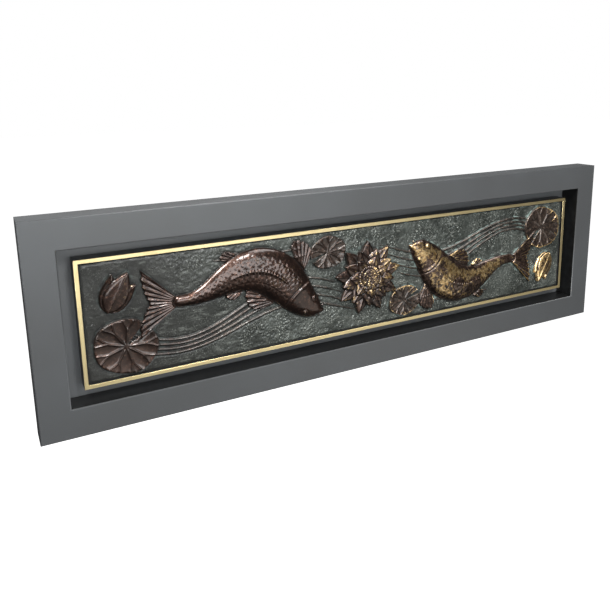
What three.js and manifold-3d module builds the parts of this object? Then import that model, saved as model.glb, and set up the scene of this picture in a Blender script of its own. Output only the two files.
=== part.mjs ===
// A long relief plaque: a dark bronze casting with a brass fillet on a raised block,
// set in the well of a deep, flat-faced, charcoal lacquered frame.
// Millimetres. +X runs along the plaque, +Z is up, and the front faces -Y.
// The origin is the middle of the flat back, which is fixed to a wall.
// On the casting, u runs along X, v along Z, and h rises from its ground towards the front.

import * as THREE from "three";
import { mergeVertices } from "three/addons/utils/BufferGeometryUtils.js";
import Module from "manifold-3d";

// Frame
const WIDTH = 1220;
const HEIGHT = 358;
const DEPTH = 49;
const FACE = 50; // width of the frame's face
const EDGE = 2; // radius of its front edges
const EDGE_STEPS = 3;
const GAP = 0.3; // between pieces that touch

// Back board, let into a rebate behind the frame
const BOARD = 4;
const REBATE = 8;

// Raised block, brass fillet and casting
const MARGIN_X = 24; // clear well round the block
const MARGIN_Z = 21.5;
const FILLET = 6.5;
const FILLET_THICK = 1.5;
const FILLET_BELOW_FACE = 14.5;
const GROUND_BELOW_FILLET = 2.5;
const CASTING = 4.7; // thickness of the casting at its ground
const SINK = 2; // how far each form of the relief runs into the ground
const FOOT = 0.3; // how far the thin edge of each form lies under the ground

const WELL_X = WIDTH - 2 * FACE;
const WELL_Z = HEIGHT - 2 * FACE;
const BLOCK_X = WELL_X - 2 * MARGIN_X;
const BLOCK_Z = WELL_Z - 2 * MARGIN_Z;
const POCKET_X = BLOCK_X - 2 * FILLET;
const POCKET_Z = BLOCK_Z - 2 * FILLET;

const FILLET_Y = -DEPTH + FILLET_BELOW_FACE;
const RIM_Y = FILLET_Y + FILLET_THICK + GAP;
const GROUND_Y = FILLET_Y + GROUND_BELOW_FILLET;
const CASTING_BACK_Y = GROUND_Y + CASTING;

// The relief: two carp circle an open water lily, with lily pads, buds and lines of water.
// Every form but the flower is given once, for the left half, and repeated after half a turn.
const CARP = { head: [-104, -48], heading: -20, bend: 14, sway: -34, length: 312, girth: 43, height: 13.4 };
const SPINE_STEPS = 48;
// Half width of the body from the lips to the tail: shares of its length and of its girth
const PROFILE_AT = [0, 0.04, 0.12, 0.24, 0.38, 0.55, 0.72, 0.86, 0.95, 1];
const PROFILE = [0.13, 0.42, 0.66, 0.88, 1, 0.9, 0.62, 0.36, 0.25, 0.24];
// The body's crest: its least share of the height, and powers for its swell, its flat top and its round edge
const CREST = { least: 0.3, swell: 0.8, flat: 2.3, round: 0.62 };
const GILL = { along: 0.205, across: 0.94, curve: 0.03, height: 1.1, halfWidth: 2.2 };
const BACK_FIN = { from: 0.3, to: 0.7, height: 2.4, halfWidth: 4.5, ends: 0.3, arch: 0.4 };
const TUCK = 0.8; // how far the edges of these two lie under the body's skin
const EYE = { along: 0.098, across: 0.66, radius: 3.8, sunk: 1 };

// Tail: root along the body, spread, length at its fork as a share, power of the fork's curve
const TAIL = { along: 0.985, spread: 80, length: 88, fork: 0.6, curve: 1.3, rays: 10, height: 6.5 };
// Paired fins: place along and across the body, angle off it, spread, length and rays
const FINS = [
  { along: 0.27, across: 0.72, angle: 46, spread: 50, length: 74, rays: 6 },
  { along: 0.6, across: 0.62, angle: 30, spread: 38, length: 46, rays: 4 },
];
// Their height, how much shorter they are at their back edge and at both edges
const FIN = { height: 6, slant: 0.15, rounding: 0.25 };
// All fans: share left open at the root, scallop at the rays' tips, fall to the tips, height of the rays
const FAN = { root: 0.08, scallop: 0.03, fall: 0.58, ray: 1.1, rayStart: 1.6 };

const PADS = [
  { centre: [-466, -47], radius: 53, notch: 62, squash: 0.88, tilt: -20 },
  { centre: [-88, 62], radius: 38, notch: 200, squash: 0.82, tilt: 5 },
];
// Height at the heart, rise to the lip, height of the veins, half angle of the notch, share left open at
// the heart, and the size and height of the boss there
const PAD = { veins: 9, height: 3, lip: 3, vein: 1.2, notch: 9, heart: 0.08, waviness: 0.02, waves: 5 };
const PAD_BOSS = { radius: 0.145, height: 3.5 };

// Bud: half angle between its petals, size and width of the outer ones, lift of the middle one
const BUD = { root: [-492, 16], angle: 60, length: 72, width: 19, base: 3.5, rise: 5.5 };
const BUD_SIDES = { lean: 0.34, length: 0.86, width: 0.8, lift: 2.5 };
const FLOWER = { radius: 74, turn: 0.2, heart: 17, heartHeight: 13, stamens: 24, stamensHeight: 11 };
// Rings of petals from the outside in: count, length and half width as shares of the radius
const PETAL_RINGS = [
  { count: 9, length: 1, width: 0.25, base: 4.6, rise: 3, shift: 0 },
  { count: 9, length: 0.8, width: 0.23, base: 6.4, rise: 3.2, shift: 0.5 },
  { count: 7, length: 0.58, width: 0.2, base: 8.4, rise: 3.4, shift: 0.2 },
];
// A petal: powers for where it is widest and how full it is, its blunt tip, the height at its root
// as a share of its rise, and how far its sides fall
const PETAL = { widest: 0.78, full: 0.8, tip: 0.995, blunt: 0.25, root: 0.35, fall: 0.6 };
const BOSS = { taper: 0.86, sides: 16 };

// Lines of water: middle, swing, wave length, phase, ends, how many and how far apart
const STREAMS = [
  { v: -34, swing: 30, wave: 440, phase: 2.75, from: -512, to: -30, count: 4, apart: 12 },
  { v: 76, swing: 8, wave: 330, phase: 2.2, from: -310, to: -132, count: 2, apart: 11 },
];
const STREAM = { halfWidth: 3, height: 2.8, stagger: 14, spreading: 0.35, endWidth: 0.15, endHeight: 0.4 };

// How finely the forms are divided, along and across them
const STEPS = {
  body: [20, 8],
  eye: [8, 6],
  gill: 8,
  backFin: 12,
  fan: 3,
  pad: 3,
  padSides: 4, // for each vein
  petal: 5,
  budAcross: 4,
  stream: 13,
};

const LACQUER = { color: 0x6f7376, roughness: 0.45, metalness: 0 };
const BLACK = { color: 0x141516, roughness: 0.35, metalness: 0 };
const BRONZE = { color: 0x3d342c, roughness: 0.45, metalness: 0.9 };
const BRASS = { color: 0xd9bd78, roughness: 0.25, metalness: 1 };

const wasm = await Module();
wasm.setup();

const { degToRad } = THREE.MathUtils;
const TURN = 2 * Math.PI;
const plaque = new THREE.Group();

// ---- Solids ----

// A geometry as a solid that can be cut and joined.
function solidOf(geometry) {
  const bare = geometry.clone();
  bare.deleteAttribute("normal");
  bare.deleteAttribute("uv");
  const merged = mergeVertices(bare, 1e-4);
  const vertProperties = new Float32Array(merged.attributes.position.array);
  const triVerts = new Uint32Array(merged.index.array);
  return new wasm.Manifold(new wasm.Mesh({ numProp: 3, vertProperties, triVerts }));
}

// A solid back as a geometry.
function geometryOf(body) {
  const { vertProperties, triVerts } = body.getMesh();
  const geometry = new THREE.BufferGeometry();
  geometry.setAttribute("position", new THREE.BufferAttribute(vertProperties, 3));
  geometry.setIndex(new THREE.BufferAttribute(triVerts, 1));
  geometry.computeVertexNormals();
  return geometry;
}

function addPiece(name, geometry, finish) {
  const piece = new THREE.Mesh(geometry, new THREE.MeshStandardMaterial(finish));
  piece.name = name;
  plaque.add(piece);
  return piece;
}

// A box centred on the plaque, between a front and a back.
function slab(x, z, front, back) {
  const box = new THREE.BoxGeometry(x, back - front, z);
  return box.translate(0, (front + back) / 2, 0);
}

// A bar of the given section with mitred ends, lying under the X axis with its outer edge on it.
// The section's x is the way in from that edge, and its y is the plaque's.
function mitredBar(section, outerLength) {
  const options = { depth: 1, curveSegments: EDGE_STEPS, bevelEnabled: false };
  const bar = new THREE.ExtrudeGeometry(section, options);
  const at = bar.attributes.position;
  for (let i = 0; i < at.count; i++) {
    const inwards = at.getX(i);
    const end = at.getZ(i) > 0.5 ? 1 : -1;
    at.setXYZ(i, end * (outerLength / 2 - inwards - GAP / Math.SQRT2), at.getY(i), -inwards);
  }
  bar.computeVertexNormals();
  return bar;
}

// Four mitred bars round an x by z rectangle, named after the side they are on.
function addMitredBorder(name, section, x, z, finish) {
  const sides = [
    { side: "top", length: x, turn: 0, place: [0, z / 2] },
    { side: "right", length: z, turn: 0.25, place: [x / 2, 0] },
    { side: "bottom", length: x, turn: 0.5, place: [0, -z / 2] },
    { side: "left", length: z, turn: 0.75, place: [-x / 2, 0] },
  ];
  for (const { side, length, turn, place } of sides) {
    const bar = addPiece(`${name}_${side}`, mitredBar(section, length), finish);
    bar.rotation.y = turn * TURN;
    bar.position.set(place[0], 0, place[1]);
  }
}

// ---- Frame, back board, block and fillet ----

function frameSection() {
  const section = new THREE.Shape();
  section.moveTo(0, 0);
  section.lineTo(0, -DEPTH + EDGE);
  section.absarc(EDGE, -DEPTH + EDGE, EDGE, Math.PI, 1.5 * Math.PI, false);
  section.lineTo(FACE - EDGE, -DEPTH);
  section.absarc(FACE - EDGE, -DEPTH + EDGE, EDGE, 1.5 * Math.PI, TURN, false);
  section.lineTo(FACE, -BOARD - GAP);
  section.lineTo(FACE - REBATE, -BOARD - GAP);
  section.lineTo(FACE - REBATE, 0);
  section.closePath();
  return section;
}

function filletSection() {
  const section = new THREE.Shape();
  section.moveTo(0, FILLET_Y);
  section.lineTo(FILLET, FILLET_Y);
  section.lineTo(FILLET, FILLET_Y + FILLET_THICK);
  section.lineTo(0, FILLET_Y + FILLET_THICK);
  section.closePath();
  return section;
}

function mountingBlock() {
  const block = solidOf(slab(BLOCK_X, BLOCK_Z, RIM_Y, -BOARD - GAP));
  const pocket = solidOf(slab(POCKET_X, POCKET_Z, RIM_Y - 1, CASTING_BACK_Y + GAP));
  return geometryOf(block.subtract(pocket));
}

// ---- Forms of the relief ----

// A closed pillow over a grid of shares: s runs from 0 to 1 and t from -1 to 1.
// place(s, t) gives [u, v, h] on its top, and its underside is sunk in the ground.
function pillow(alongSteps, acrossSteps, place) {
  const at = [];
  const faces = [];
  const index = (i, j) => i * (acrossSteps + 1) + j;
  const layer = index(alongSteps, acrossSteps) + 1;
  for (const top of [true, false]) {
    for (let i = 0; i <= alongSteps; i++) {
      for (let j = 0; j <= acrossSteps; j++) {
        const [u, v, h] = place(i / alongSteps, (2 * j) / acrossSteps - 1);
        at.push(u, GROUND_Y + (top ? FOOT - h : SINK), v);
      }
    }
  }
  for (let i = 0; i < alongSteps; i++) {
    for (let j = 0; j < acrossSteps; j++) {
      const [a, b, c, d] = [index(i, j), index(i + 1, j), index(i + 1, j + 1), index(i, j + 1)];
      faces.push(a, b, c, a, c, d);
      faces.push(layer + a, layer + c, layer + b, layer + a, layer + d, layer + c);
    }
  }
  const rim = [];
  for (let j = 0; j < acrossSteps; j++) rim.push(index(0, j));
  for (let i = 0; i < alongSteps; i++) rim.push(index(i, acrossSteps));
  for (let j = acrossSteps; j > 0; j--) rim.push(index(alongSteps, j));
  for (let i = alongSteps; i > 0; i--) rim.push(index(i, 0));
  rim.forEach((a, k) => {
    const b = rim[(k + 1) % rim.length];
    faces.push(a, b, layer + b, a, layer + b, layer + a);
  });
  const form = new THREE.BufferGeometry();
  form.setAttribute("position", new THREE.Float32BufferAttribute(at, 3));
  form.setIndex(faces);
  return form;
}

// A round boss from below the ground up to a height.
function boss([u, v], radius, height) {
  const drum = new THREE.CylinderGeometry(radius, radius * BOSS.taper, height + SINK, BOSS.sides);
  return drum.translate(u, GROUND_Y + (SINK - height) / 2, v);
}

function moved([u, v], angle, distance) {
  return [u + Math.cos(angle) * distance, v + Math.sin(angle) * distance];
}

// A petal from a root: its width swells and closes to a point, and it rises to its tip.
function petal(root, angle, { length, width, base, rise }, acrossSteps = 2) {
  return pillow(STEPS.petal, acrossSteps, (s, t) => {
    const swell = Math.sin(Math.PI * Math.min(s, PETAL.tip) ** PETAL.widest) ** PETAL.full;
    const half = width * swell + PETAL.blunt;
    const [u, v] = moved(moved(root, angle, s * length), angle + Math.PI / 2, t * half);
    return [u, v, base + rise * (PETAL.root + (1 - PETAL.root) * s) * (1 - PETAL.fall * t * t)];
  });
}

// A ribbed fan from a root. reach(t) is its length at each side, and its ribs are ridges.
function ribbedFan(root, axis, spread, ribs, reach, height) {
  return pillow(STEPS.fan, 2 * ribs, (s, t) => {
    const out = FAN.root + (1 - FAN.root) * s;
    const rib = 0.5 + 0.5 * Math.cos(t * ribs * Math.PI);
    const [u, v] = moved(root, axis + (t * spread) / 2, reach(t) * (out + FAN.scallop * rib * s));
    return [u, v, height * (1 - FAN.fall * out) + FAN.ray * rib * Math.min(1, FAN.rayStart * out)];
  });
}

// The middle line of a carp's body: what it returns gives the place and direction at a share of
// the way from its lips to its tail.
function spineOf({ head, heading, bend, sway, length }) {
  const points = [head];
  const angles = [];
  for (let i = 0; i < SPINE_STEPS; i++) {
    const share = (i + 0.5) / SPINE_STEPS;
    angles.push(degToRad(heading + 180 + bend * share + sway * Math.sin(TURN * share)));
    points.push(moved(points[i], angles[i], length / SPINE_STEPS));
  }
  return (share) => {
    const i = Math.min(Math.floor(share * SPINE_STEPS), SPINE_STEPS - 1);
    const rest = (share - i / SPINE_STEPS) * length;
    return { point: moved(points[i], angles[i], rest), angle: angles[i] };
  };
}

function carp() {
  const profile = new THREE.CubicInterpolant(PROFILE_AT, PROFILE, 1);
  const spine = spineOf(CARP);
  const halfWidth = (share) => CARP.girth * profile.evaluate(share)[0];
  const beside = (share, across) => {
    const { point, angle } = spine(share);
    return moved(point, angle + Math.PI / 2, across * halfWidth(share));
  };
  const bodyHeight = (share, across) => {
    const swell = profile.evaluate(share)[0] ** CREST.swell;
    const crest = CARP.height * (CREST.least + (1 - CREST.least) * swell);
    return crest * (1 - Math.abs(across) ** CREST.flat) ** CREST.round;
  };

  const onBody = (share, across, rise) => [
    ...beside(share, across),
    bodyHeight(share, across) + rise,
  ];
  // A ridge on the body, whose edges lie under its skin
  const ridge = (t, height) => (height + TUCK) * (1 - Math.abs(t)) - TUCK;

  const body = pillow(...STEPS.body, (s, t) => onBody(s, Math.sin((t * Math.PI) / 2), 0));
  const gill = pillow(STEPS.gill, 2, (s, t) => {
    const across = GILL.across * (2 * s - 1);
    const share = GILL.along + GILL.curve * (1 - across ** 2) - (t * GILL.halfWidth) / CARP.length;
    return onBody(share, across, ridge(t, GILL.height));
  });
  const backFin = pillow(STEPS.backFin, 2, (s, t) => {
    const share = BACK_FIN.from + (BACK_FIN.to - BACK_FIN.from) * s;
    const arch = Math.sin(Math.PI * s);
    const across = (t * BACK_FIN.halfWidth * (BACK_FIN.ends + arch)) / halfWidth(share);
    const height = (BACK_FIN.height + TUCK) * arch ** BACK_FIN.arch - TUCK;
    return onBody(share, across, ridge(t, height));
  });

  const tailEnd = spine(TAIL.along);
  const tailReach = (t) => TAIL.length * (TAIL.fork + (1 - TAIL.fork) * Math.abs(t) ** TAIL.curve);
  const tail = ribbedFan(
    tailEnd.point, tailEnd.angle, degToRad(TAIL.spread), TAIL.rays, tailReach, TAIL.height,
  );
  const forms = [body, gill, backFin, tail];

  for (const side of [1, -1]) {
    for (const { along, across, angle, spread, length, rays } of FINS) {
      const axis = spine(along).angle + side * degToRad(angle);
      const reach = (t) => length * (1 - FIN.slant * (t * side + 1) - FIN.rounding * t ** 4);
      const root = beside(along, side * across);
      forms.push(ribbedFan(root, axis, degToRad(spread), rays, reach, FIN.height));
    }
    const [u, v] = beside(EYE.along, side * EYE.across);
    const eye = new THREE.SphereGeometry(EYE.radius, ...STEPS.eye);
    forms.push(eye.translate(u, GROUND_Y - bodyHeight(EYE.along, EYE.across) + EYE.sunk, v));
  }
  return forms;
}

// A lily pad seen from above, notched to its heart, with a raised lip and veins.
function lilyPad({ centre, radius, notch, squash, tilt }) {
  const disc = pillow(STEPS.pad, STEPS.padSides * PAD.veins, (s, t) => {
    const out = PAD.heart + (1 - PAD.heart) * s;
    const angle = degToRad(notch + PAD.notch + ((t + 1) / 2) * (360 - 2 * PAD.notch));
    const wave = 1 + PAD.waviness * Math.sin(PAD.waves * angle);
    const [x, y] = moved([0, 0], angle, out * radius * wave);
    const vein = Math.cos(PAD.veins * Math.PI * (t + 1));
    const h = PAD.height + PAD.lip * out ** 3 + PAD.vein * vein * Math.min(1, 2 * s);
    const [u, v] = moved(moved(centre, degToRad(tilt), x), degToRad(tilt + 90), y * squash);
    return [u, v, h];
  });
  return [disc, boss(centre, radius * PAD_BOSS.radius, PAD_BOSS.height)];
}

function bud() {
  const { root, base, length, width } = BUD;
  const angle = degToRad(BUD.angle);
  const size = { ...BUD, length: length * BUD_SIDES.length, width: width * BUD_SIDES.width };
  const sides = [-BUD_SIDES.lean, BUD_SIDES.lean].map((lean) =>
    petal(root, angle + lean, size, STEPS.budAcross));
  return [...sides, petal(root, angle, { ...BUD, base: base + BUD_SIDES.lift }, STEPS.budAcross)];
}

function flower() {
  const { radius, turn, heart, heartHeight, stamens, stamensHeight } = FLOWER;
  const centre = [0, 0];
  const petals = PETAL_RINGS.flatMap(({ count, length, width, base, rise, shift }) => {
    const size = { length: radius * length, width: radius * width, base, rise };
    const angles = Array.from({ length: count }, (_, i) => turn + ((i + shift) * TURN) / count);
    return angles.map((angle) => petal(centre, angle, size));
  });
  return [...petals, boss(centre, stamens, stamensHeight), boss(centre, heart, heartHeight)];
}

// A bundle of wavy lines that draw together and part.
function stream({ v, swing, wave, phase, from, to, count, apart }) {
  return Array.from({ length: count }, (_, k) => {
    const start = from + STREAM.stagger * k;
    const end = to - STREAM.stagger * k;
    const line = (s) => {
      const u = start + (end - start) * s;
      const share = (u - from) / (to - from);
      const spacing = apart * (1 + STREAM.spreading * Math.sin(TURN * share + phase));
      const middle = v + swing * Math.sin((TURN * (u - from)) / wave + phase);
      return [u, middle + (k - (count - 1) / 2) * spacing];
    };
    return pillow(STEPS.stream, 2, (s, t) => {
      const here = line(s);
      const next = line(s + 0.001);
      const angle = Math.atan2(next[1] - here[1], next[0] - here[0]);
      const swell = Math.sqrt(Math.max(0, 4 * s * (1 - s)));
      const half = STREAM.halfWidth * (STREAM.endWidth + (1 - STREAM.endWidth) * swell);
      const rise = STREAM.height * (STREAM.endHeight + (1 - STREAM.endHeight) * swell);
      return [...moved(here, angle + Math.PI / 2, t * half), rise * (1 - Math.abs(t))];
    });
  });
}

function casting() {
  const half = [...STREAMS.flatMap(stream), ...PADS.flatMap(lilyPad), ...bud(), ...carp()];
  const otherHalf = half.map((form) => form.clone().rotateY(Math.PI));
  const plate = slab(POCKET_X - 2 * GAP, POCKET_Z - 2 * GAP, GROUND_Y, CASTING_BACK_Y);
  const forms = [...half, ...otherHalf, ...flower()];
  return geometryOf(forms.reduce((body, form) => body.add(solidOf(form)), solidOf(plate)));
}

// ---- The plaque ----

addMitredBorder("frame", frameSection(), WIDTH, HEIGHT, LACQUER);
const boardInset = 2 * (REBATE - GAP);
addPiece("back_board", slab(WELL_X + boardInset, WELL_Z + boardInset, -BOARD, 0), LACQUER);
addPiece("mounting_block", mountingBlock(), BLACK);
addPiece("relief_panel", casting(), BRONZE);
addMitredBorder("fillet", filletSection(), BLOCK_X, BLOCK_Z, BRASS);

export default plaque;
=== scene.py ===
import math

import bmesh
import bpy
import numpy as np
from mathutils import Matrix, Vector


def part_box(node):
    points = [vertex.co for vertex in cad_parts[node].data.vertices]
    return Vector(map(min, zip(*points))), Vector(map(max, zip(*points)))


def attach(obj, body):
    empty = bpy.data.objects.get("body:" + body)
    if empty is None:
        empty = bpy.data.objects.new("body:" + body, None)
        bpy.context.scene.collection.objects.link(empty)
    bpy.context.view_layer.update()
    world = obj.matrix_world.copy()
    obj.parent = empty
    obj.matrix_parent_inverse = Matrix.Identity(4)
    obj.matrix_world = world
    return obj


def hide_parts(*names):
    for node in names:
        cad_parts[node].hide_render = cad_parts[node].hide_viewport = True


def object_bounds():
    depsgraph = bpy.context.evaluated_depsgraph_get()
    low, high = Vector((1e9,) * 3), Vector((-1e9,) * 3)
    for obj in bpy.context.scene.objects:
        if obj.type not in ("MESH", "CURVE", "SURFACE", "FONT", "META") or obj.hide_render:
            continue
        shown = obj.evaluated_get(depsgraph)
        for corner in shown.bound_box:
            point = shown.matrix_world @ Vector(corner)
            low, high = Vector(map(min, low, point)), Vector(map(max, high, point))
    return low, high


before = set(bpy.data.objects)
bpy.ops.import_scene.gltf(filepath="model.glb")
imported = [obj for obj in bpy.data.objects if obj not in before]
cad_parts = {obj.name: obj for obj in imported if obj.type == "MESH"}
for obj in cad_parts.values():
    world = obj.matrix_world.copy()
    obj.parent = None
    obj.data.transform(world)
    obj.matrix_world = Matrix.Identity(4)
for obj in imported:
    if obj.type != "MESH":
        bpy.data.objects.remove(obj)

# The looks of a long relief plaque: charcoal lacquered frame, black block, brass fillet and a
# dark bronze relief of two carp that circle an open water lily.
# Metres, with the front facing -Y. The relief is worked out in millimetres on its own plate,
# where u runs along X, v along Z and heights rise towards the front.

CAD_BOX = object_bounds()
MM = 0.001

RAILS = ("frame_top", "frame_right", "frame_bottom", "frame_left")
FACE_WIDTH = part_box("frame_left")[1].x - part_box("frame_left")[0].x
BOARD_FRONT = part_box("back_board")[0].y
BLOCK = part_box("mounting_block")
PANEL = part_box("relief_panel")
FILLET_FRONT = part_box("fillet_top")[0].y
FILLET_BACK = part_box("fillet_top")[1].y
FILLET_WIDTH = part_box("fillet_top")[1].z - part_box("fillet_top")[0].z
GAP = 0.3 * MM
GROUND = FILLET_FRONT + 2.5 * MM  # where the relief's ground lies

EDGE_RADIUS = 2 * MM
EDGE_STEPS = 8
REBATE = 8 * MM
STRIP_RADIUS = 0.35 * MM
STRIP_STEPS = 3

# ---- Relief, in millimetres: the same forms and sizes as the casting's ----

CARP = dict(head=(-104, -48), heading=-20, bend=14, sway=-34, length=312, girth=43, height=13.4)
PROFILE_AT = (0, 0.04, 0.12, 0.24, 0.38, 0.55, 0.72, 0.86, 0.95, 1)
PROFILE = (0.13, 0.42, 0.66, 0.88, 1, 0.9, 0.62, 0.36, 0.25, 0.24)
TAIL = dict(along=0.985, spread=80, length=88, fork=0.6, curve=1.3, rays=10, height=6.5)
FINS = (
    dict(along=0.27, across=0.72, angle=46, spread=50, length=74, rays=6),
    dict(along=0.6, across=0.62, angle=30, spread=38, length=46, rays=4),
)
FIN_HEIGHT = 6
RAY_HEIGHT = 1.1
GILL = dict(along=0.205, curve=0.03, lip=1.1, lip_width=3.2, lip_ahead=0.012, cut=1.2, cut_width=1.8)
BACK_FIN = dict(start=0.3, end=0.7, height=2.4, half_width=4.5, ray=6)
SIDE_LINE = dict(across=0.52, depth=0.35, width=0.7)
EYE = dict(along=0.098, across=0.66, radius=3.8, height=2.3, lid=0.9)
BARBEL = dict(along=0.035, leans=(30, 62), bend=7, steps=5, step=3.2, half_width=2.0, height=3.2)
SCALES = dict(size=12, height=0.5)

PADS = (
    dict(centre=(-466, -47), radius=53, notch=62, squash=0.88, tilt=-20),
    dict(centre=(-88, 62), radius=38, notch=200, squash=0.82, tilt=5),
)
PAD = dict(veins=9, height=3, lip=3, vein=1.3, notch=9, waviness=0.02, waves=5)
BUD = dict(root=(-492, 16), angle=60, length=72, width=19, base=3.5, rise=5.5)
BUD_PETALS = (
    dict(lean=0.34, size=0.86, width=0.8, lift=0),
    dict(lean=-0.34, size=0.86, width=0.8, lift=0),
    dict(lean=0, size=1, width=1, lift=2.5),
)
FLOWER = dict(radius=74, turn=0.2)
STAMENS = dict(radius=24, height=10.6, crown=0.4, beads=30, bead_height=0.7)
HEART = dict(radius=17, height=12.6, crown=-0.6)
SEED = dict(radius=2.0, height=0.2, crown=0.9)
SEED_RINGS = ((0, 1), (0.36, 5), (0.74, 10))  # each ring's place from the heart's middle, and seeds
PETAL_RINGS = (
    dict(count=9, length=1, width=0.25, base=4.6, rise=3, shift=0),
    dict(count=9, length=0.8, width=0.23, base=6.4, rise=3.2, shift=0.5),
    dict(count=7, length=0.58, width=0.2, base=8.4, rise=3.4, shift=0.2),
)
STREAMS = (
    dict(v=-34, swing=30, wave=440, phase=2.75, start=-512, end=-30, count=4, apart=12),
    dict(v=76, swing=8, wave=330, phase=2.2, start=-310, end=-132, count=2, apart=11),
)
STREAM = dict(half_width=3, height=2.8, stagger=14, spreading=0.35)
BORDER = dict(width=3, depth=1.4, fall=4)

# Random hills over the casting, each with its height, size across and seed
SWELL = ((0.4, 30, 1),)
STIPPLE = ((0.45, 6, 2), (0.8, 3, 3))
DABS = ((0.3, 90, 6),)
WORKED = ((0.22, 15, 4), (0.1, 5.5, 5))
SMOOTH_END = (-460, -240)  # the ground is smoother towards its left end
RECESS = 0.3  # how far the ground lies behind the solid's, so that its hills stay within it

GRID_STEP = 0.75
SOFT_EDGE = 0.55  # half the width over which a form's edge meets what lies under it
GROUND_LEFT_ON_FORMS = 0.08  # share of the ground's roughness that a worked form keeps
MOST_TRIANGLES = 186000
SHARP_ANGLE = 75
TURN = 2 * math.pi


def ramp(low, high, value):
    """A smooth step from 0 at low to 1 at high."""
    share = np.clip((value - low) / (high - low), 0, 1)
    return share * share * (3 - 2 * share)


def moved(place, angle, distance):
    return (place[0] + math.cos(angle) * distance, place[1] + math.sin(angle) * distance)


def profile(share):
    """Half width of the carp along its body, by a cubic through the named stations."""
    at = np.array(PROFILE_AT)
    value = np.array(PROFILE)
    slope = np.gradient(value, at)
    share = np.clip(share, 0, 1)
    i = np.clip(np.searchsorted(at, share, side="right") - 1, 0, len(at) - 2)
    span = at[i + 1] - at[i]
    t = (share - at[i]) / span
    start = (2 * t**3 - 3 * t**2 + 1) * value[i] + (t**3 - 2 * t**2 + t) * span * slope[i]
    end = (3 * t**2 - 2 * t**3) * value[i + 1] + (t**3 - t**2) * span * slope[i + 1]
    return start + end


def clouds(u, v, cell, seed):
    """Smooth random hills from -1 to 1, a cell apart."""
    random = np.random.default_rng(seed)
    low_u, low_v = u.min(), v.min()
    columns = int((u.max() - low_u) / cell) + 3
    rows = int((v.max() - low_v) / cell) + 3
    lattice = random.uniform(-1, 1, (rows, columns))
    x = (u - low_u) / cell
    y = (v - low_v) / cell
    i, j = np.floor(x).astype(int), np.floor(y).astype(int)
    s, t = ramp(0, 1, x - i), ramp(0, 1, y - j)
    near = lattice[j, i] * (1 - s) + lattice[j, i + 1] * s
    far = lattice[j + 1, i] * (1 - s) + lattice[j + 1, i + 1] * s
    return near * (1 - t) + far * t


def hills(u, v, layers):
    return sum(height * clouds(u, v, cell, seed) for height, cell, seed in layers)


def beside_line(points, u, v):
    """Share along a chain of points, signed offset and distance of each place from it."""
    best = np.full(u.shape, 1e9)
    share = np.zeros(u.shape)
    offset = np.zeros(u.shape)
    count = len(points) - 1
    for i, ((au, av), (bu, bv)) in enumerate(zip(points, points[1:])):
        du, dv = bu - au, bv - av
        t = np.clip(((u - au) * du + (v - av) * dv) / (du * du + dv * dv), 0, 1)
        eu, ev = u - au - t * du, v - av - t * dv
        distance = np.hypot(eu, ev)
        near = distance < best
        best = np.where(near, distance, best)
        share = np.where(near, (i + t) / count, share)
        offset = np.where(near, np.sign(du * ev - dv * eu) * distance, offset)
    return share, offset, best


def blurred(values, step, radius):
    """A field softened by a bell of the given radius, with mirrored edges."""
    reach = max(1, int(3 * radius / step))
    bell = np.exp(-0.5 * (np.arange(-reach, reach + 1) * step / radius) ** 2)
    bell /= bell.sum()
    for axis in (0, 1):
        pad = [(reach, reach) if a == axis else (0, 0) for a in (0, 1)]
        padded = np.pad(values, pad, mode="reflect")
        count = values.shape[axis]
        slices = [np.take(padded, range(k, k + count), axis=axis) for k in range(2 * reach + 1)]
        values = sum(weight * part for weight, part in zip(bell, slices))
    return values


class Relief:
    """The casting's front as a height over its ground, and how far each place is a worked form."""

    def __init__(self, width, height, step):
        self.step = step
        columns = round(width / step) + 1
        rows = round(height / step) + 1
        across = np.linspace(-width / 2, width / 2, columns)
        up = np.linspace(-height / 2, height / 2, rows)
        self.u, self.v = np.meshgrid(across, up)
        self.h = np.zeros_like(self.u)
        self.form = np.zeros_like(self.u)
        self.border = np.zeros_like(self.u)

    def window(self, centre, reach):
        """The part of the grid within reach of a place."""
        spans = []
        for axis, middle in ((self.v[:, 0], centre[1]), (self.u[0], centre[0])):
            low = np.searchsorted(axis, middle - reach)
            high = np.searchsorted(axis, middle + reach)
            spans.append(slice(low, max(high, low + 1)))
        return tuple(spans)

    def lay(self, shape, centre, reach, side=1, keep=0.0, groove=1.2, spread=2.0, form=1.0):
        """Lays a form over what is there, with a groove round it. shape gives its height and,
        outside it, how far away it is. side -1 lays it after half a turn of the panel."""
        part = self.window((side * centre[0], side * centre[1]), reach)
        height, away = shape(side * self.u[part], side * self.v[part])
        inside = ramp(SOFT_EDGE, -SOFT_EDGE, away)
        under = self.h[part] - groove * np.exp(-((np.maximum(away, 0) / spread) ** 2))
        over = height + keep * np.maximum(self.h[part], 0)
        self.h[part] = under * (1 - inside) + over * inside
        self.form[part] = self.form[part] * (1 - inside) + form * inside


def fan_shape(root, axis, spread, rays, reach, height):
    """A ribbed fan, such as a fin: reach gives its length at each side, from -1 to 1."""

    def shape(u, v):
        du, dv = u - root[0], v - root[1]
        out = np.hypot(du, dv) + 1e-6
        turned = (np.arctan2(dv, du) - axis + math.pi) % TURN - math.pi
        side = turned / (spread / 2)
        rib = 0.5 + 0.5 * np.cos(side * rays * math.pi)
        length = reach(np.clip(side, -1, 1)) * (1 + 0.03 * rib)
        share = np.clip(out / length, 0, 1)
        away = np.maximum(out - length, (np.abs(turned) - spread / 2) * np.minimum(out, length))
        crisp = RAY_HEIGHT * (rib**1.5) * np.clip(1.6 * share, 0, 1)
        split = 0.35 * np.cos(side * rays * 3 * math.pi) * ramp(0.45, 0.9, share)
        return height * (1 - 0.58 * share) + crisp + split, away

    return shape


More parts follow.
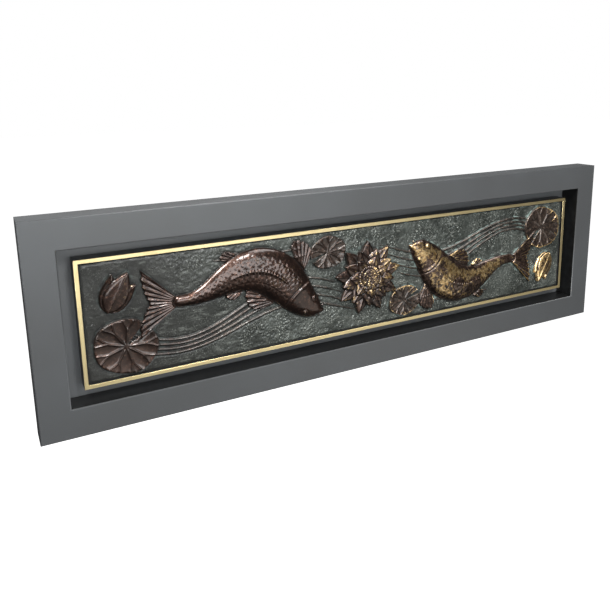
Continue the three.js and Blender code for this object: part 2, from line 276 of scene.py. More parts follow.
def blade_shape(root, angle, length, width, base, rise):
    """A petal: its width swells and closes to a point, with a fine midrib and veins."""

    def shape(u, v):
        du, dv = u - root[0], v - root[1]
        along = (du * math.cos(angle) + dv * math.sin(angle)) / length
        across = -du * math.sin(angle) + dv * math.cos(angle)
        share = np.clip(along, 0, 0.995)
        half = width * np.sin(math.pi * share**0.78) ** 0.8 + 0.25
        beyond = np.maximum(np.maximum(-along, along - 1), 0) * length
        away = np.where(beyond > 0, np.hypot(beyond, np.maximum(np.abs(across) - half, 0)), 0)
        away = np.where(beyond > 0, np.maximum(away, 0.6), np.abs(across) - half)
        t = np.clip(np.abs(across) / half, 0, 1)
        height = base + rise * (0.35 + 0.65 * share) * (1 - 0.6 * t * t)
        height += 0.7 * np.exp(-((across / 1.1) ** 2)) * ramp(1, 0.8, share)
        height += 0.22 * np.cos(t * 3 * math.pi) * ramp(0.1, 0.35, share) * ramp(1, 0.75, share)
        return height, away

    return shape


def line_shape(points, half_width, height, swelling=True):
    """A rounded ridge along a chain of points, fading at its ends."""

    def shape(u, v):
        share, _, distance = beside_line(points, u, v)
        swell = np.sqrt(np.clip(4 * share * (1 - share), 0, 1)) if swelling else 1 - 0.6 * share
        half = half_width * (0.15 + 0.85 * swell)
        dome = np.clip(1 - (distance / half) ** 2, 0, 1) ** 0.7
        return height * (0.4 + 0.6 * swell) * dome, distance - half

    return shape


def disc_shape(centre, radius, height, crown, beads=0, bead_height=0.0):
    """A low round boss, with beads round its edge if asked."""

    def shape(u, v):
        du, dv = u - centre[0], v - centre[1]
        out = np.hypot(du, dv)
        share = np.clip(out / radius, 0, 1)
        bead = bead_height * np.cos(beads * np.arctan2(dv, du)) * ramp(0.5, 0.9, share)
        return height + crown * (1 - share**2) + bead, out - radius

    return shape


def scallops(x, y, size):
    """Overlapping scales on a body: x runs to the tail and y across. Each rises to its free edge."""
    raised = np.zeros(x.shape)
    done = np.zeros(x.shape, bool)
    first = np.floor(x / (size / 2))
    for back in (2, 1, 0, -1):
        row = first - back
        shift = np.where(np.mod(row, 2) == 0, 0.0, 0.5)
        column = (np.round(y / size - shift) + shift) * size
        out = np.hypot(x - row * size / 2, y - column) / (size * 0.62)
        hit = (out < 1) & ~done & (x > row * size / 2 - 0.1 * size)
        raised = np.where(hit, out**2, raised)
        done |= hit
    return raised


class Spine:
    """The middle line of a carp's body, from its lips to its tail."""

    def __init__(self, head, heading, bend, sway, length, steps=48):
        self.steps = steps
        self.length = length
        self.points = [head]
        self.angles = []
        for i in range(steps):
            share = (i + 0.5) / steps
            turn = bend * share + sway * math.sin(TURN * share)
            self.angles.append(math.radians(heading + 180 + turn))
            self.points.append(moved(self.points[i], self.angles[i], length / steps))

    def at(self, share):
        i = min(int(share * self.steps), self.steps - 1)
        place = moved(self.points[i], self.angles[i], (share - i / self.steps) * self.length)
        return place, self.angles[i]

    def beside(self, share, across):
        place, angle = self.at(share)
        return moved(place, angle + math.pi / 2, across * CARP["girth"] * float(profile(share)))


def carp_body(spine):
    """Body, gill covers, scales and back fin as one rounded form."""

    def shape(u, v):
        share, offset, distance = beside_line(spine.points, u, v)
        half = CARP["girth"] * profile(share)
        t = np.clip(distance / half, 0, 1)
        height = CARP["height"] * (0.3 + 0.7 * profile(share) ** 0.8) * (1 - t**2.3) ** 0.62
        gill = share - GILL["along"] - GILL["curve"] * (1 - t**2)
        lip = (gill + GILL["lip_ahead"]) * spine.length / GILL["lip_width"]
        height += GILL["lip"] * np.exp(-(lip**2)) * ramp(1, 0.75, t)
        cut = gill * spine.length / GILL["cut_width"]
        height -= GILL["cut"] * np.exp(-(cut**2)) * ramp(1, 0.85, t)
        scaled = ramp(0.008, 0.03, gill) * ramp(1.0, 0.9, share) * ramp(0.95, 0.4, t)
        scales = scallops(share * spine.length, offset, SCALES["size"]) - 0.4
        height += SCALES["height"] * scales * scaled
        within = np.clip((share - BACK_FIN["start"]) / (BACK_FIN["end"] - BACK_FIN["start"]), 0, 1)
        arch = np.sin(math.pi * within)
        ridge = np.clip(1 - np.abs(offset) / (BACK_FIN["half_width"] * (0.3 + arch)), 0, 1)
        rays = 0.8 + 0.2 * np.cos(share * spine.length * TURN / BACK_FIN["ray"])
        height += BACK_FIN["height"] * arch**0.4 * ridge * rays
        from_line = (np.abs(offset) - SIDE_LINE["across"] * half) / SIDE_LINE["width"]
        height -= SIDE_LINE["depth"] * np.exp(-(from_line**2)) * scaled
        return height, distance - half

    return shape


def carp_eye(place):
    """A round eye with a lid about it."""

    def shape(u, v):
        out = np.hypot(u - place[0], v - place[1]) / EYE["radius"]
        lid = EYE["lid"] * np.exp(-(((out - 1.25) / 0.22) ** 2))
        ball = EYE["height"] * np.sqrt(np.clip(1 - out**2, 0, 1))
        return ball + lid - 0.5, (out - 1.6) * EYE["radius"]

    return shape


def tail_reach(t):
    """The tail's length at each side of its fork."""
    return TAIL["length"] * (TAIL["fork"] + (1 - TAIL["fork"]) * np.abs(t) ** TAIL["curve"])


def lay_carp(relief, side):
    """Tail, fins, barbels, body and eyes of a carp, from the back to the front."""
    spine = Spine(*(CARP[k] for k in ("head", "heading", "bend", "sway", "length")))
    end, angle = spine.at(TAIL["along"])
    spread = math.radians(TAIL["spread"])
    tail = fan_shape(end, angle, spread, TAIL["rays"], tail_reach, TAIL["height"])
    relief.lay(tail, end, 1.1 * TAIL["length"], side, keep=0.2)
    for fin in FINS:
        for hand in (1, -1):
            root = spine.beside(fin["along"], hand * fin["across"])
            axis = spine.at(fin["along"])[1] + hand * math.radians(fin["angle"])

            def reach(t, fin=fin, hand=hand):
                return fin["length"] * (1 - 0.15 * (t * hand + 1) - 0.25 * t**4)

            shape = fan_shape(root, axis, math.radians(fin["spread"]), fin["rays"], reach, FIN_HEIGHT)
            relief.lay(shape, root, 1.1 * fin["length"], side, keep=0.2)
    for hand in (1, -1):
        mouth, angle = spine.at(BARBEL["along"])
        for lean in BARBEL["leans"]:
            points = [mouth]
            for k in range(BARBEL["steps"]):
                aim = angle + math.pi + hand * math.radians(lean + BARBEL["bend"] * k)
                points.append(moved(points[-1], aim, BARBEL["step"]))
            barbel = line_shape(points, BARBEL["half_width"], BARBEL["height"], swelling=False)
            relief.lay(barbel, mouth, BARBEL["steps"] * BARBEL["step"] + 6, side, groove=0.5)
    middle = spine.at(0.5)[0]
    relief.lay(carp_body(spine), middle, 0.56 * spine.length, side, groove=1.5)
    for hand in (1, -1):
        eye = spine.beside(EYE["along"], hand * EYE["across"])
        relief.lay(carp_eye(eye), eye, 12, side, keep=1.0, groove=0.4)


def lily_pad(centre, radius, notch, squash, tilt):
    """A lily pad seen from above, notched to its heart, with a raised lip and forked veins."""
    lean = math.radians(tilt)

    def shape(u, v):
        du, dv = u - centre[0], v - centre[1]
        x = du * math.cos(lean) + dv * math.sin(lean)
        y = (dv * math.cos(lean) - du * math.sin(lean)) / squash
        out = np.hypot(x, y) + 1e-6
        angle = np.arctan2(y, x)
        rim = radius * (1 + PAD["waviness"] * np.sin(PAD["waves"] * angle))
        turned = (angle - math.radians(notch) + math.pi) % TURN - math.pi
        cut = (math.radians(PAD["notch"]) - np.abs(turned)) * out
        away = np.maximum(out - rim, np.where(out > 0.09 * radius, cut, -1))
        share = np.clip(out / rim, 0, 1)
        sweep = TURN / PAD["veins"]
        vein = (turned / sweep + 0.5) % 1.0 - 0.5
        stem = np.exp(-((vein * sweep * out / (1.0 + 1.2 * (1 - share))) ** 2))
        forked = ramp(0.5, 0.6, share)
        fork = (np.abs(vein) - 0.24 * ramp(0.5, 1.0, share)) * sweep * out
        ridge = stem * (1 - forked) + forked * np.exp(-((fork / 1.2) ** 2))
        sag = 0.8 * (0.5 - 0.5 * np.cos(TURN * vein)) * share
        height = PAD["height"] + PAD["lip"] * share**3 - sag
        height += PAD["vein"] * ridge * ramp(1, 0.94, share)
        return height, away * squash

    return shape


def lay_streams(relief, side):
    """Lines of water that run side by side, closer and wider apart as they swing."""
    for stream in STREAMS:
        for k in range(stream["count"]):
            start = stream["start"] + STREAM["stagger"] * k
            end = stream["end"] - STREAM["stagger"] * k
            points = []
            for u in np.linspace(start, end, 40):
                share = (u - stream["start"]) / (stream["end"] - stream["start"])
                spacing = stream["apart"] * (
                    1 + STREAM["spreading"] * math.sin(TURN * share + stream["phase"])
                )
                swing = math.sin(TURN * (u - stream["start"]) / stream["wave"] + stream["phase"])
                v = stream["v"] + stream["swing"] * swing + (k - (stream["count"] - 1) / 2) * spacing
                points.append((u, v))
            middle = ((start + end) / 2, stream["v"])
            shape = line_shape(points, STREAM["half_width"], STREAM["height"])
            relief.lay(shape, middle, (end - start) / 2 + 6, side, keep=0.6, groove=0.9, form=0.5)


def lay_flower(relief):
    """The open lily: three rings of petals, the stamens, and the heart with its seeds."""
    for ring in PETAL_RINGS:
        for i in range(ring["count"]):
            angle = FLOWER["turn"] + (i + ring["shift"]) * TURN / ring["count"]
            length = FLOWER["radius"] * ring["length"]
            width = FLOWER["radius"] * ring["width"]
            petal = blade_shape((0, 0), angle, length, width, ring["base"], ring["rise"])
            relief.lay(petal, (0, 0), length + 4, groove=1.0, spread=1.5)
    relief.lay(disc_shape((0, 0), **STAMENS), (0, 0), STAMENS["radius"] + 4, groove=1.2, spread=1.4)
    relief.lay(disc_shape((0, 0), **HEART), (0, 0), HEART["radius"] + 4, groove=1.4, spread=1.3)
    for ring, count in SEED_RINGS:
        for i in range(count):
            place = moved((0, 0), TURN * i / count, ring * HEART["radius"])
            relief.lay(disc_shape(place, **SEED), place, 5, keep=1.0, groove=0.7, spread=0.8)


def make_relief():
    """All the forms, laid from the back to the front, on a rough stippled ground."""
    width = (PANEL[1].x - PANEL[0].x) / MM
    height = (PANEL[1].z - PANEL[0].z) / MM
    relief = Relief(width, height, GRID_STEP)
    u, v = relief.u, relief.v
    dabbed = (0.7 + hills(u, v, DABS)) * (0.3 + 0.7 * ramp(*SMOOTH_END, u))
    rough = hills(u, v, SWELL) + dabbed * hills(u, v, STIPPLE)
    for side in (1, -1):
        lay_streams(relief, side)
    for side in (1, -1):
        for pad in PADS:
            relief.lay(lily_pad(**pad), pad["centre"], 1.1 * pad["radius"], side, form=0.8)
            heart = disc_shape(pad["centre"], pad["radius"] * 0.1, PAD["height"] + 0.4, 0.6)
            relief.lay(heart, pad["centre"], 12, side, groove=0.4, form=0.8)
    for side in (1, -1):
        for petal in BUD_PETALS:
            angle = math.radians(BUD["angle"]) + petal["lean"]
            shape = blade_shape(BUD["root"], angle, BUD["length"] * petal["size"],
                                BUD["width"] * petal["width"], BUD["base"] + petal["lift"], BUD["rise"])
            relief.lay(shape, BUD["root"], BUD["length"] + 4, side, groove=1.0, form=0.95)
        lay_carp(relief, side)
    lay_flower(relief)
    relief.h += rough * (1 - (1 - GROUND_LEFT_ON_FORMS) * relief.form)
    relief.h += hills(u, v, WORKED) * relief.form
    edge = np.minimum(width / 2 - np.abs(u), height / 2 - np.abs(v))
    relief.border = ramp(BORDER["width"] + 0.6, BORDER["width"] - 0.6, edge)
    relief.h = relief.h * ramp(0, BORDER["fall"], edge) - RECESS - BORDER["depth"] * relief.border
    return relief


def casting_mesh(relief):
    """The height field as a closed plate: front, four edges and a flat back."""
    rows, columns = relief.u.shape
    back = PANEL[1].y
    front = np.column_stack([
        relief.u.ravel() * MM,
        (GROUND - relief.h * MM).ravel(),
        relief.v.ravel() * MM,
    ])
    index = np.arange(rows * columns).reshape(rows, columns)
    corners = [index[:-1, :-1], index[:-1, 1:], index[1:, 1:], index[1:, :-1]]
    quads = np.stack(corners, -1).reshape(-1, 4)
    rim = np.concatenate([index[0, :-1], index[:-1, -1], index[-1, :0:-1], index[:0:-1, 0]])
    behind = front[rim].copy()
    behind[:, 1] = back
    first = rows * columns
    loop = first + np.arange(len(rim))
    sides = np.stack([rim, loop, np.roll(loop, -1), np.roll(rim, -1)], -1)
    mesh = bpy.data.meshes.new("relief_casting")
    faces = [*quads.tolist(), *sides.tolist(), loop[::-1].tolist()]
    mesh.from_pydata(np.vstack([front, behind]).tolist(), [], faces)
    return mesh


def thinned(piece, most):
    """The piece's mesh brought under a number of triangles, keeping its crisp places."""
    count = sum(len(face.vertices) - 2 for face in piece.data.polygons)
    thin = piece.modifiers.new("thin", "DECIMATE")
    thin.ratio = most / count
    thin.use_collapse_triangulate = True
    evaluated = piece.evaluated_get(bpy.context.evaluated_depsgraph_get())
    mesh = bpy.data.meshes.new_from_object(evaluated)
    piece.modifiers.clear()
    old = piece.data
    piece.data = mesh
    bpy.data.meshes.remove(old)


BROAD = 6  # reach, in millimetres, over which a form stands out from what is about it
NARROW = 1.6  # and over which a ridge or groove does


def note_finish(piece, relief):
    """Writes where the bronze is worked, worn and dark on the piece: red is form, green is how
    far a place stands out, and blue is how deep it lies in a groove; along the border the blue is
    painted shade."""
    lifted = relief.h - blurred(relief.h, relief.step, BROAD)
    crest = relief.h - blurred(relief.h, relief.step, NARROW)
    high = ramp(2.0, 11.0, relief.h)
    worn = np.clip(0.55 * high + 0.14 * lifted + 0.35 * np.maximum(crest, 0), 0, 1) * relief.form
    deep = ramp(0.1, 2.6, -lifted) * 0.7 + ramp(0.05, 0.7, -crest) * 0.6
    # The border groove beside the brass is given full depth: painted shade for the brass's shadow and
    # the gap.
    deep = np.maximum(np.clip(deep, 0, 0.8), relief.border)
    fields = np.stack([relief.form, worn, deep, np.ones_like(worn)], -1)
    rows, columns = relief.u.shape
    points = np.empty(len(piece.data.vertices) * 3)
    piece.data.vertices.foreach_get("co", points)
    points = points.reshape(-1, 3) / MM
    i = np.clip(np.rint((points[:, 0] - relief.u[0, 0]) / relief.step), 0, columns - 1).astype(int)
    j = np.clip(np.rint((points[:, 2] - relief.v[0, 0]) / relief.step), 0, rows - 1).astype(int)
    note = piece.data.color_attributes.new("finish", "FLOAT_COLOR", "POINT")
    note.data.foreach_set("color", fields[j, i].ravel())


# ---- Meshes of the frame and fillet ----


def add_piece(name, mesh, materials, replaced=()):
    """A finished piece: it rides on the root body and stands for the CAD nodes it replaces."""
    piece = bpy.data.objects.new(name, mesh)
    bpy.context.scene.collection.objects.link(piece)
    for material in materials:
        mesh.materials.append(material)
    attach(piece, "root")
    if replaced:
        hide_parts(*replaced)
    return piece


def arc(centre, radius, start, end, steps):
    """Points on a quarter or other arc, angles in degrees."""
    turns = [math.radians(start + (end - start) * k / steps) for k in range(steps + 1)]
    return [(centre[0] + radius * math.cos(a), centre[1] + radius * math.sin(a)) for a in turns]


def finished_mesh(bm, name):
    mesh = bpy.data.meshes.new(name)
    bm.to_mesh(mesh)
    bm.free()
    return mesh


def rounding(section, i, j, radius):
    """Whether the section's side from i to j is one of the short steps of a rounded edge."""
    return (Vector(section[i]) - Vector(section[j])).length < radius


def border_mesh(name, section, half_x, half_z, slots):
    """A closed border swept round a rectangle with mitred corners. The section is a closed loop
    of (inwards, y) points, and slots gives the material of each of its sides."""
    bm = bmesh.new()
    rings = []
    for sign_x, sign_z in ((-1, 1), (1, 1), (1, -1), (-1, -1)):
        ring = [bm.verts.new((sign_x * (half_x - a), y, sign_z * (half_z - a))) for a, y in section]
        rings.append(ring)
    count = len(section)
    for k, ring in enumerate(rings):
        after = rings[(k + 1) % 4]
        for i in range(count):
            j = (i + 1) % count
            face = bm.faces.new((ring[i], ring[j], after[j], after[i]))
            face.material_index = slots(i)
            face.smooth = rounding(section, i, j, EDGE_RADIUS)
    bmesh.ops.recalc_face_normals(bm, faces=bm.faces)
    return finished_mesh(bm, name)


def frame_section(depth):
    """The rail's section: face, two rounded front edges, inner wall and the rebate behind."""
    outer = arc((EDGE_RADIUS, -depth + EDGE_RADIUS), EDGE_RADIUS, 180, 270, EDGE_STEPS)
    inner = arc((FACE_WIDTH - EDGE_RADIUS, -depth + EDGE_RADIUS), EDGE_RADIUS, 270, 360, EDGE_STEPS)
    rebate = BOARD_FRONT - GAP
    return [(0, 0), *outer, *inner, (FACE_WIDTH, rebate), (FACE_WIDTH - REBATE, rebate),
            (FACE_WIDTH - REBATE, 0)]


def make_frame(lacquer, black):
    """The four rails as one lacquered piece, with black on the inner walls as painted shade."""
    low, high = CAD_BOX
    section = frame_section(-low.y)
    wall = 2 * (EDGE_STEPS + 1)  # the side that runs back from the inner rounded edge, black as painted shade
    mesh = border_mesh("frame", section, high.x, high.z, lambda i: 1 if i == wall else 0)
    return add_piece("frame", mesh, (lacquer, black), RAILS)


def strip_mesh(name, length, turn, place):
    """One mitred brass strip with softly rounded edges and a black inner side, painted shade for the
    dark gap beside the casting.
    """
    r = STRIP_RADIUS
    front, back = FILLET_FRONT, FILLET_BACK
    left = arc((r, front + r), r, 180, 270, STRIP_STEPS)
    right = arc((FILLET_WIDTH - r, front + r), r, 270, 360, STRIP_STEPS)
    section = [(0, back), *left, *right, (FILLET_WIDTH, back)]
    inner = len(section) - 2  # the side beside the casting, black as painted shade
    bm = bmesh.new()
    ends = []
    for end in (-1, 1):
        ends.append([bm.verts.new((end * (length / 2 - a - GAP / 3), y, -a)) for a, y in section])
    for i in range(len(section)):
        j = (i + 1) % len(section)
        face = bm.faces.new((ends[0][i], ends[0][j], ends[1][j], ends[1][i]))
        face.smooth = rounding(section, i, j, r)
        face.material_index = 1 if i == inner else 0
    bm.faces.new(ends[0])
    bm.faces.new(ends[1])
    bmesh.ops.rotate(bm, verts=bm.verts, matrix=Matrix.Rotation(turn, 3, "Y"))
    bmesh.ops.translate(bm, verts=bm.verts, vec=place)
    bmesh.ops.recalc_face_normals(bm, faces=bm.faces)
    return finished_mesh(bm, name)


def make_fillet(lengthways, upright, black):
    """The brass strips on the block's rim."""
    x, z = BLOCK[1].x, BLOCK[1].z
    sides = (
        ("top", 2 * x, 0, (0, 0, z), lengthways),
        ("right", 2 * z, math.pi / 2, (x, 0, 0), upright),
        ("bottom", 2 * x, math.pi, (0, 0, -z), lengthways),
        ("left", 2 * z, -math.pi / 2, (-x, 0, 0), upright),
    )
    for side, length, turn, place, brass in sides:
        mesh = strip_mesh(f"brass_{side}", length, turn, place)
        add_piece(f"brass_{side}", mesh, (brass, black), (f"fillet_{side}",))


# ---- Materials ----


class Field:
    """A value over a material's surface. Arithmetic on it adds Math nodes."""

    def __init__(self, nodes, socket):
        self.nodes = nodes
        self.socket = socket

    def math(self, operation, other):
        return self.nodes.node("ShaderNodeMath", {"operation": operation}, {0: self, 1: other})

    def __add__(self, other):
        return self.math("ADD", other)

    __radd__ = __add__

    def __mul__(self, other):
        return self.math("MULTIPLY", other)

    __rmul__ = __mul__

    def __sub__(self, other):
        return self.math("SUBTRACT", other)

    def __rsub__(self, other):
        return self * -1 + other

    def above(self, low, high):
        """0 below low, 1 above high and smooth between."""
        settings = {"interpolation_type": "SMOOTHSTEP"}
        values = {"Value": self, "From Min": low, "From Max": high}
        return self.nodes.node("ShaderNodeMapRange", settings, values, "Result")


class Nodes:
    """A node tree to which one method adds any node."""

    def __init__(self, tree):
        self.tree = tree

    def node(self, kind, settings=None, values=None, output=0):
        """A node with its settings made first and its sockets then set or linked."""
        made = self.tree.nodes.new(kind)
        for key, value in (settings or {}).items():
            setattr(made, key, value)
        for key, value in (values or {}).items():
            self.feed(made.inputs[key], value)
        return Field(self, made.outputs[output])

    def feed(self, slot, value):
        if isinstance(value, Field):
            self.tree.links.new(value.socket, slot)
        else:
            slot.default_value = value


class Finish(Nodes):
    """A material being made, with names for its common nodes."""

    def __init__(self, name):
        self.material = bpy.data.materials.new(name)
        self.material.use_nodes = True
        super().__init__(self.material.node_tree)
        self.shader = self.tree.nodes["Principled BSDF"]
        self.place = self.node("ShaderNodeTexCoord", output="Object")

    def set(self, **values):
        """Feeds the shader: an underscore in a name stands for a space."""
        for key, value in values.items():
            self.feed(self.shader.inputs[key.replace("_", " ")], value)

    def stretched(self, scale):
        return self.node("ShaderNodeMapping", values={"Vector": self.place, "Scale": scale})

    def noise(self, per_metre, detail=3.0, roughness=0.55, place=None, distortion=0.0):
        values = {
            "Vector": place or self.place,
            "Scale": per_metre,
            "Detail": detail,
            "Roughness": roughness,
            "Distortion": distortion,
        }
        return self.node("ShaderNodeTexNoise", values=values, output="Fac")

    def mix(self, share, first, second):
        """The second colour over the first, by share."""
        values = {0: share, 6: first, 7: second}
        return self.node("ShaderNodeMix", {"data_type": "RGBA"}, values, 2)

    def bump(self, height, distance, strength):
        values = {"Height": height, "Distance": distance, "Strength": strength}
        return self.node("ShaderNodeBump", values=values, output="Normal")

    def along(self, axis):
        """The place along X, Y or Z, in metres."""
        return self.node("ShaderNodeSeparateXYZ", values={"Vector": self.place}, output=axis)


def grey(value, warmth=0.0):
    """A near-neutral colour: warmth above 0 is browner and below 0 bluer."""
    return (value * (1 + warmth), value, value * (1 - warmth), 1)


BRASS = dict(dull=(0.84, 0.66, 0.33, 1), bright=(0.92, 0.78, 0.46, 1), tarnish=(0.52, 0.35, 0.14, 1))
BRONZE = dict(
    grey_dark=(0.016, 0.016, 0.014, 1),
    grey_light=(0.034, 0.034, 0.031, 1),
    green_dark=(0.020, 0.024, 0.020, 1),
    green_light=(0.085, 0.094, 0.084, 1),
    streak=(0.19, 0.20, 0.18, 1),
    pale_fleck_and_glint=(0.58, 0.60, 0.54, 1),
    brown_dark=(0.026, 0.016, 0.013, 1),
    brown_light=(0.072, 0.040, 0.030, 1),
    copper=(0.26, 0.135, 0.095, 1),
    pale_copper=(0.30, 0.21, 0.16, 1),
    gold_dark=(0.52, 0.31, 0.11, 1),
    gold_light=(0.95, 0.70, 0.36, 1),
    patina_and_shade_black=(0.006, 0.006, 0.006, 1),
    bloom=(0.26, 0.33, 0.30, 1),
)


def lacquer_finish(name, dark, light):
    """Satin lacquer sprayed over smooth board, with faint mottle, dust and rubs."""
    finish = Finish(name)
    mottle = finish.noise(9, 4)
    drift = finish.noise(2.2, 2)
    dust = finish.noise(900, 2).above(0.68, 0.78)
    rubs = finish.noise(26, 6, 0.7, finish.stretched((0.35, 1, 1.4))).above(0.56, 0.74)
    shade = mottle.above(0.3, 0.7) * 0.5 + drift * 0.4
    colour = finish.mix(shade, grey(dark, -0.02), grey(light, -0.05))
    colour = finish.mix(dust * 0.25, colour, grey(0.3))
    peel = finish.noise(420, 2, 0.4)
    finish.set(
        Base_Color=colour,
        Roughness=0.36 + 0.07 * mottle - 0.06 * rubs + 0.1 * dust,
        Normal=finish.bump(peel, 0.00006, 0.6),
    )
    return finish.material


def black_finish():
    """Semi-gloss black, paint on the block, with a soft drag and a little settled dust; on the frame's
    inner walls and the brass strips' inner sides it is painted shade.
    """
    finish = Finish("black paint and painted shade")
    drag = finish.noise(60, 5, 0.6, finish.stretched((0.15, 1, 1)))
    dust = finish.noise(700, 2).above(0.66, 0.78)
    colour = finish.mix(drag.above(0.35, 0.75), grey(0.006), grey(0.011, -0.05))
    colour = finish.mix(dust * 0.15, colour, grey(0.12))
    finish.set(
        Base_Color=colour,
        Roughness=0.28 + 0.14 * drag + 0.2 * dust,
        Normal=finish.bump(drag, 0.0001, 0.4),
    )
    return finish.material


def brass_finish(name, along):
    """Polished brass, drawn lengthways, lightly lacquered and a little browned in places."""
    finish = Finish(name)
    drawn = finish.stretched(tuple(0.02 if axis == along else 1 for axis in range(3)))
    scratch = finish.noise(1500, 3, 0.6, drawn)
    tarnish = finish.noise(14, 5, 0.6)
    spots = finish.noise(160, 4, 0.6).above(0.6, 0.75)
    colour = finish.mix(scratch, BRASS["dull"], BRASS["bright"])
    browned = tarnish.above(0.5, 0.75) * 0.35 + spots * 0.25
    colour = finish.mix(browned, colour, BRASS["tarnish"])
    finish.set(
        Base_Color=colour,
        Metallic=1.0,
        Roughness=0.34 + 0.1 * scratch + 0.1 * tarnish.above(0.45, 0.8),
        Normal=finish.bump(scratch, 0.00004, 0.5),
    )
    return finish.material


def bronze_finish():
    """Dark waxed bronze: grey stippled ground that turns greener and brighter to the right,
    with pale flecks that are partly patina and partly painted glints, copper brown on the worked
    forms, ochre gold rubbed through on their high places, black and pale green patina left in the
    grooves, and black along the border beside the brass as painted shade."""
    finish = Finish("patinated bronze")
    note = finish.node("ShaderNodeAttribute", {"attribute_name": "finish"}, output="Color")
    form, worn, deep = (
        finish.node("ShaderNodeSeparateColor", values={"Color": note}, output=channel)
        for channel in ("Red", "Green", "Blue")
    )
    cloud = finish.noise(18, 5, 0.6)
    grain = finish.noise(170, 5, 0.7)
    fine = finish.noise(700, 3, 0.6)
    to_middle = finish.along("X").above(-0.45, -0.15)
    to_right = finish.along("X").above(-0.15, 0.25)

    drawn = finish.stretched((0.3, 1, 1))
    streaks = finish.noise(120, 5, 0.7, drawn, 0.5).above(0.54, 0.68)
    pale_fleck_and_glint = finish.noise(380, 3, 0.65).above(0.56, 0.66) * finish.noise(30, 3).above(0.38, 0.58)
    shade = cloud.above(0.3, 0.7)
    left = finish.mix(shade, BRONZE["grey_dark"], BRONZE["grey_light"])
    right = finish.mix(shade, BRONZE["green_dark"], BRONZE["green_light"])
    ground = finish.mix(to_middle, left, right)
    ground = finish.mix(streaks * (0.35 + 0.35 * to_middle), ground, BRONZE["streak"])
    # Pale flecks, more of them to the right: partly patina, partly painted glints on the stipple.
    ground = finish.mix(pale_fleck_and_glint * (0.12 + 0.73 * to_middle), ground, BRONZE["pale_fleck_and_glint"])
    skin = finish.mix(shade, BRONZE["brown_dark"], BRONZE["brown_light"])
    skin = finish.mix(grain.above(0.5, 0.74) * 0.6, skin, BRONZE["copper"])
    skin = finish.mix(grain.above(0.46, 0.6) * to_right * 0.4, skin, BRONZE["pale_copper"])
    colour = finish.mix(form, ground, skin)

    patch = finish.noise(13, 3, 0.5).above(0.34, 0.62)
    handled = worn.above(0.15, 0.75) * (0.2 + 0.8 * patch) * (0.15 + 0.85 * to_right)
    mottle = finish.noise(120, 6, 0.75, distortion=0.8)
    rub = (mottle + 0.3 * handled).above(0.6, 0.74) * handled.above(0.02, 0.3)
    gold = finish.mix(grain.above(0.35, 0.65), BRONZE["gold_dark"], BRONZE["gold_light"])
    colour = finish.mix(rub, colour, gold)
    # Black in the grooves: patina in the hollows, and along the border painted shade.
    colour = finish.mix(deep * 0.9, colour, BRONZE["patina_and_shade_black"])
    bloom = deep.above(0.2, 0.6) * (1 - deep.above(0.8, 1)) * (1 - form)
    bloom = bloom * finish.noise(60, 4, 0.6).above(0.45, 0.6)
    colour = finish.mix(bloom * (0.1 + 0.65 * to_right), colour, BRONZE["bloom"])

    finish.set(
        Base_Color=colour,
        Metallic=0.45 + 0.5 * form - 0.4 * deep,
        Roughness=0.4 - 0.12 * form + 0.12 * grain - 0.06 * rub + 0.3 * deep,
        Coat_Weight=0.3 + 0.4 * form - 0.3 * deep,
        Coat_Roughness=0.14,
        Coat_IOR=1.6,
        Normal=finish.bump((grain * 0.65 + fine * 0.35) * (1 - 0.6 * form), 0.001, 0.7),
    )
    return finish.material


# ---- Stage, lights and camera ----


FLOOR_SIZE = 30
FLOOR_DROP = 1.4  # the plaque hangs this far above the floor
SURROUND_LIGHT = 0.05


def pale_floor():
    """A white floor far below the plaque, which neither lights it nor shows in its brass."""
    bm = bmesh.new()
    bmesh.ops.create_grid(bm, x_segments=1, y_segments=1, size=FLOOR_SIZE)
    mesh = finished_mesh(bm, "floor")
    mesh.transform(Matrix.Translation((0, 0, CAD_BOX[0].z - FLOOR_DROP)))
    floor = bpy.data.objects.new("floor", mesh)
    bpy.context.scene.collection.objects.link(floor)
    finish = Finish("pale floor")
    finish.set(
        Base_Color=finish.mix(finish.noise(3), grey(0.86), grey(0.9)),
        Roughness=0.9,
        Emission_Color=(1, 1, 1, 1),
        Emission_Strength=1.0,
    )
    mesh.materials.append(finish.material)
    floor.visible_diffuse = False
    floor.visible_glossy = False


def soft_box(name, place, size, power, aim=(0, 0, 0), colour=(1, 1, 1)):
    light = bpy.data.lights.new(name, "AREA")
    light.shape = "RECTANGLE"
    light.size, light.size_y = size
    light.energy = power
    light.color = colour
    lamp = bpy.data.objects.new(name, light)
    lamp.location = place
    lamp.rotation_euler = (Vector(aim) - Vector(place)).to_track_quat("-Z", "Y").to_euler()
    bpy.context.scene.collection.objects.link(lamp)


def lit_surround():
    """A surround that the camera sees as white, though it lights the plaque only a little."""
    world = bpy.data.worlds.new("studio")
    world.use_nodes = True
    nodes = Nodes(world.node_tree)
    seen = nodes.node("ShaderNodeLightPath", output="Is Camera Ray")
    values = {"Value": seen, "To Min": SURROUND_LIGHT, "To Max": 1.0}
    strength = nodes.node("ShaderNodeMapRange", values=values, output="Result")
    background = nodes.tree.nodes["Background"]
    nodes.feed(background.inputs["Strength"], strength)
    nodes.feed(background.inputs["Color"], (1, 1, 1, 1))
    bpy.context.scene.world = world


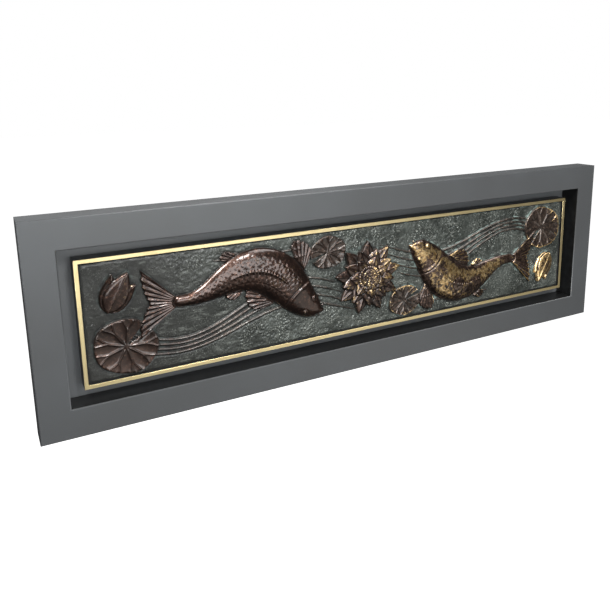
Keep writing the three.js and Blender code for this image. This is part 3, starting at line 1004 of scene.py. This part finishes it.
WARM = (1, 0.97, 0.9)
LAMPS = (
    dict(name="front", place=(-0.1, -2.53, 0.23), size=(2.3, 1.2), power=38, colour=(0.95, 0.985, 1)),
    dict(name="key", place=(-1.28, -1.07, 1.99), size=(0.8, 0.8), power=75, colour=(0.98, 1, 1)),
    dict(name="top", place=(0.7, -0.6, 1.5), size=(1.4, 0.8), power=20),
    dict(name="behind", place=(0, 0.9, 1.5), size=(1.4, 1.4), power=20),
    dict(name="glint", place=(-0.1, -1.5, 1.2), aim=(0.2, 0, 0), size=(0.4, 0.4), power=17),
    dict(name="low", place=(0.41, -2.32, -1.1), size=(1.2, 1.2), power=1.5, colour=WARM),
    dict(name="low right", place=(1.35, -1.93, -1.1), size=(1.2, 1.2), power=3.5, colour=WARM),
)


CAMERA_PLACE = (-0.6542, -1.0706, 0.3631)
CAMERA_AZIMUTH = -28.205
CAMERA_ELEVATION = 11.841
CAMERA_ROLL = -0.803
SENSOR = 36.0
LENS = 38.375
CAMERA_SHIFT = (-0.0289, -0.1325)


def place_camera():
    """A camera to the left, in front and above, with a small roll and a shifted frame."""
    data = bpy.data.cameras.new("camera")
    data.sensor_width = SENSOR
    data.lens = LENS
    data.shift_x, data.shift_y = CAMERA_SHIFT
    camera = bpy.data.objects.new("camera", data)
    azimuth, elevation = math.radians(CAMERA_AZIMUTH), math.radians(CAMERA_ELEVATION)
    look = Vector((
        -math.sin(azimuth) * math.cos(elevation),
        math.cos(azimuth) * math.cos(elevation),
        -math.sin(elevation),
    ))
    level = look.to_track_quat("-Z", "Y").to_matrix()
    roll = Matrix.Rotation(math.radians(CAMERA_ROLL), 3, "Z")
    camera.rotation_euler = (level @ roll).to_euler()
    camera.location = CAMERA_PLACE
    bpy.context.scene.collection.objects.link(camera)
    bpy.context.scene.camera = camera


# ---- The plaque ----

place_camera()
lit_surround()
for lamp in LAMPS:
    soft_box(**lamp)
pale_floor()

lacquer = lacquer_finish("charcoal lacquer", 0.064, 0.076)
# The back board takes a lighter copy of the frame's lacquer: painted light on the well floor, which the
# lamps leave darker.
board = lacquer_finish("board lacquer lightened as painted light", 0.115, 0.135)
black = black_finish()
make_frame(lacquer, black)
make_fillet(brass_finish("brass lengthways", 0), brass_finish("brass upright", 2), black)
for node, material in (("back_board", board), ("mounting_block", black)):
    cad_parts[node].data.materials.clear()
    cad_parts[node].data.materials.append(material)

relief = make_relief()
casting = add_piece("bronze_relief", casting_mesh(relief), (), ("relief_panel",))
thinned(casting, MOST_TRIANGLES)
casting.data.materials.append(bronze_finish())
note_finish(casting, relief)
casting.data.shade_smooth()
casting.data.set_sharp_from_angle(angle=math.radians(SHARP_ANGLE))

bpy.context.scene.view_settings.view_transform = "Standard"
